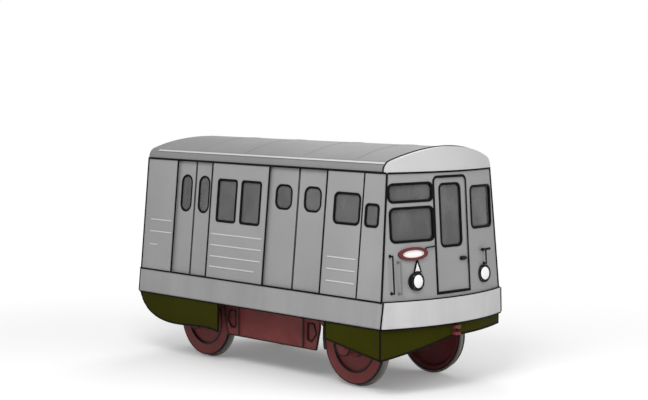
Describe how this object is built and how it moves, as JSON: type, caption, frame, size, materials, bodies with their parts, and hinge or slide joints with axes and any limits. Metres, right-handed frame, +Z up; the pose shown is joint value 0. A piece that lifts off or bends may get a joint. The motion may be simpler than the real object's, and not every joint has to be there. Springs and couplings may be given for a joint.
{
  "type": "metro car",
  "caption": "Short metro car with sliding pocket doors along its sides, a bowed cab front with a hinged end door, headlamps, skirts and a hollow saloon.",
  "frame": {"origin": "under the middle of the car, level with the lowest points of the wheel flanges", "axes": "+X towards the cab end, +Y towards the car's left side, +Z up"},
  "size_m": [6.12, 2.744, 3.6719],
  "materials": {
    "body_grey": "satin",
    "light_grey": "satin",
    "flute_grey": "brushed",
    "door_grey": "satin",
    "skirt_olive": "matt",
    "truck_brown": "matt",
    "wheel_brown": "rough",
    "window_glass": "tinted",
    "lamp_black": "gloss",
    "lamp_white": "clear",
    "ring_brown": "gloss",
    "plate_white": "gloss",
    "rail_steel": "brushed",
    "tail_red": "clear",
    "floor_grey": "matt",
    "bench_plastic": "satin",
    "inner_grey": "satin",
    "under_dark": "matt"
  },
  "bodies": {
    "car_body": {"air_tanks": "under_dark", "axle_boxes": "truck_brown", "benches": "bench_plastic", "brake_gear": "under_dark", "cab_desk": "inner_grey", "cab_partition": "inner_grey", "couplers": "truck_brown", "equipment_case": "under_dark", "floor": "floor_grey", "front_bumper": "light_grey", "front_plate": "plate_white", "front_skirts": "skirt_olive", "front_valance": "skirt_olive", "front_wall": "body_grey", "grab_rails": "rail_steel", "headlamp_lenses": "lamp_white", "headlamp_rims": "lamp_black", "leaf_springs": "under_dark", "plate_ring": "ring_brown", "poles": "rail_steel", "rear_bumper": "body_grey", "rear_skirts": "skirt_olive", "rear_wall": "body_grey", "roof": "body_grey", "roof_fascia": "light_grey", "roof_rails": "flute_grey", "side_flutes": "flute_grey", "side_frames": "truck_brown", "side_sills": "body_grey", "side_wall_left": "body_grey", "side_wall_right": "body_grey", "tail_lamps": "tail_red", "traction_motors": "under_dark", "underframe": "under_dark", "window_panes": "window_glass"},
    "front_wheelset": {"front_axle": "wheel_brown", "front_wheels": "wheel_brown"},
    "front_end_door": {"front_end_door": "door_grey", "front_end_door_glass": "window_glass"},
    "left_front_door_front_leaf": {"left_front_door_front_leaf": "door_grey", "left_front_door_front_leaf_glass": "window_glass"},
    "left_front_door_rear_leaf": {"left_front_door_rear_leaf": "door_grey", "left_front_door_rear_leaf_glass": "window_glass"},
    "left_rear_door_front_leaf": {"left_rear_door_front_leaf": "door_grey", "left_rear_door_front_leaf_glass": "window_glass"},
    "left_rear_door_rear_leaf": {"left_rear_door_rear_leaf": "door_grey", "left_rear_door_rear_leaf_glass": "window_glass"},
    "rear_wheelset": {"rear_axle": "wheel_brown", "rear_wheels": "wheel_brown"},
    "rear_end_door": {"rear_end_door": "door_grey", "rear_end_door_glass": "window_glass"},
    "right_front_door_front_leaf": {"right_front_door_front_leaf": "door_grey", "right_front_door_front_leaf_glass": "window_glass"},
    "right_front_door_rear_leaf": {"right_front_door_rear_leaf": "door_grey", "right_front_door_rear_leaf_glass": "window_glass"},
    "right_rear_door_front_leaf": {"right_rear_door_front_leaf": "door_grey", "right_rear_door_front_leaf_glass": "window_glass"},
    "right_rear_door_rear_leaf": {"right_rear_door_rear_leaf": "door_grey", "right_rear_door_rear_leaf_glass": "window_glass"}
  },
  "joints": [
    {"name": "right_rear_door_rear_leaf_slide", "type": "slide", "parent": "car_body", "child": "right_rear_door_rear_leaf", "axis": [-1, 0, 0], "range_m": [0, 0.4]},
    {"name": "right_rear_door_front_leaf_slide", "type": "slide", "parent": "car_body", "child": "right_rear_door_front_leaf", "axis": [1, 0, 0], "range_m": [0, 0.4]},
    {"name": "right_front_door_rear_leaf_slide", "type": "slide", "parent": "car_body", "child": "right_front_door_rear_leaf", "axis": [-1, 0, 0], "range_m": [0, 0.6]},
    {"name": "right_front_door_front_leaf_slide", "type": "slide", "parent": "car_body", "child": "right_front_door_front_leaf", "axis": [1, 0, 0], "range_m": [0, 0.6]},
    {"name": "left_rear_door_rear_leaf_slide", "type": "slide", "parent": "car_body", "child": "left_rear_door_rear_leaf", "axis": [-1, 0, 0], "range_m": [0, 0.4]},
    {"name": "left_rear_door_front_leaf_slide", "type": "slide", "parent": "car_body", "child": "left_rear_door_front_leaf", "axis": [1, 0, 0], "range_m": [0, 0.4]},
    {"name": "left_front_door_rear_leaf_slide", "type": "slide", "parent": "car_body", "child": "left_front_door_rear_leaf", "axis": [-1, 0, 0], "range_m": [0, 0.6]},
    {"name": "left_front_door_front_leaf_slide", "type": "slide", "parent": "car_body", "child": "left_front_door_front_leaf", "axis": [1, 0, 0], "range_m": [0, 0.6]},
    {"name": "front_end_door_hinge", "type": "hinge", "parent": "car_body", "child": "front_end_door", "pos_m": [2.84829, -0.325, 2.31417], "axis": [-0.0743, 0, 0.9972], "range_deg": [0, 90]},
    {"name": "rear_end_door_hinge", "type": "hinge", "parent": "car_body", "child": "rear_end_door", "pos_m": [-2.935, 0.325, 2.3], "axis": [0, 0, 1], "range_deg": [0, 90]},
    {"name": "front_wheelset_spin", "type": "hinge", "parent": "car_body", "child": "front_wheelset", "pos_m": [1.75, 0, 0.65], "axis": [0, 1, 0], "continuous": true},
    {"name": "rear_wheelset_spin", "type": "hinge", "parent": "car_body", "child": "rear_wheelset", "pos_m": [-1.75, 0, 0.65], "axis": [0, 1, 0], "continuous": true}
  ],
  "couplings": [
    {"joint": "right_rear_door_front_leaf_slide", "follows": "right_rear_door_rear_leaf_slide", "ratio": 1},
    {"joint": "right_front_door_front_leaf_slide", "follows": "right_front_door_rear_leaf_slide", "ratio": 1},
    {"joint": "left_rear_door_front_leaf_slide", "follows": "left_rear_door_rear_leaf_slide", "ratio": 1},
    {"joint": "left_front_door_front_leaf_slide", "follows": "left_front_door_rear_leaf_slide", "ratio": 1}
  ]
}
